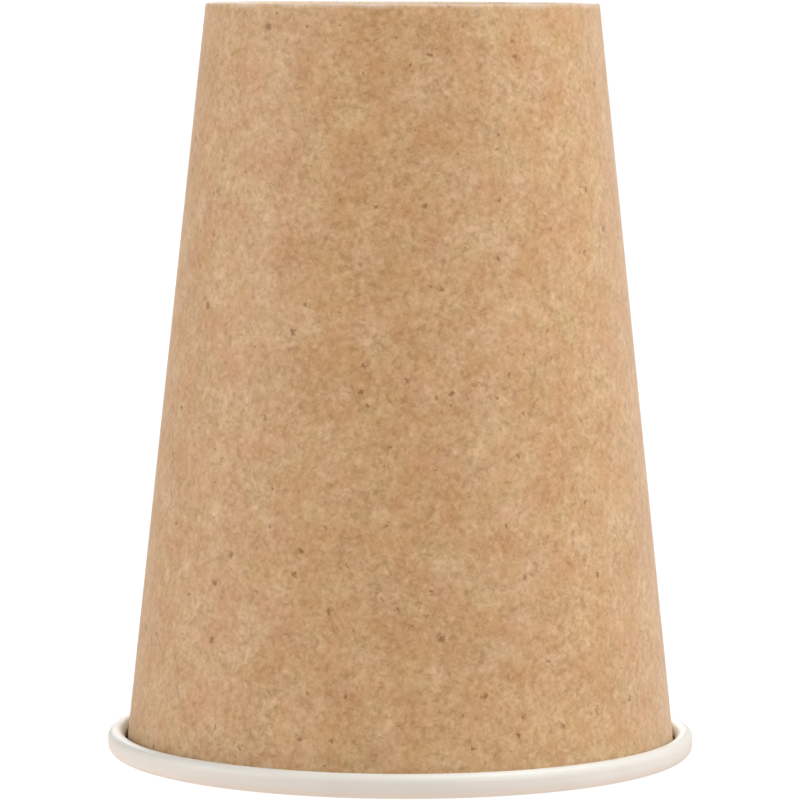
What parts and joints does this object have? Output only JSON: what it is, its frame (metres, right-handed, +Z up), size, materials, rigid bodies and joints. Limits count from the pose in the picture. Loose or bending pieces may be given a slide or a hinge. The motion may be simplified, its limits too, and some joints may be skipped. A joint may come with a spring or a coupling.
{
  "type": "paper coffee cup",
  "caption": "Single-wall paper hot-drink cup, tapered, upside down on its rolled rim, with a lapped side seam and a recessed base held in a folded hem.",
  "frame": {"origin": "centre of the ring on which the rolled rim stands", "axes": "+Z up along the cup's axis, from the rim to the base edge; -Y is the front, the side seam is at +Y"},
  "size_m": [0.09, 0.09, 0.115],
  "materials": {
    "kraft_board": "matte",
    "white_board": "satin"
  },
  "bodies": {
    "root": {"sidewall": "kraft_board", "base_disc": "white_board"}
  },
  "joints": []
}
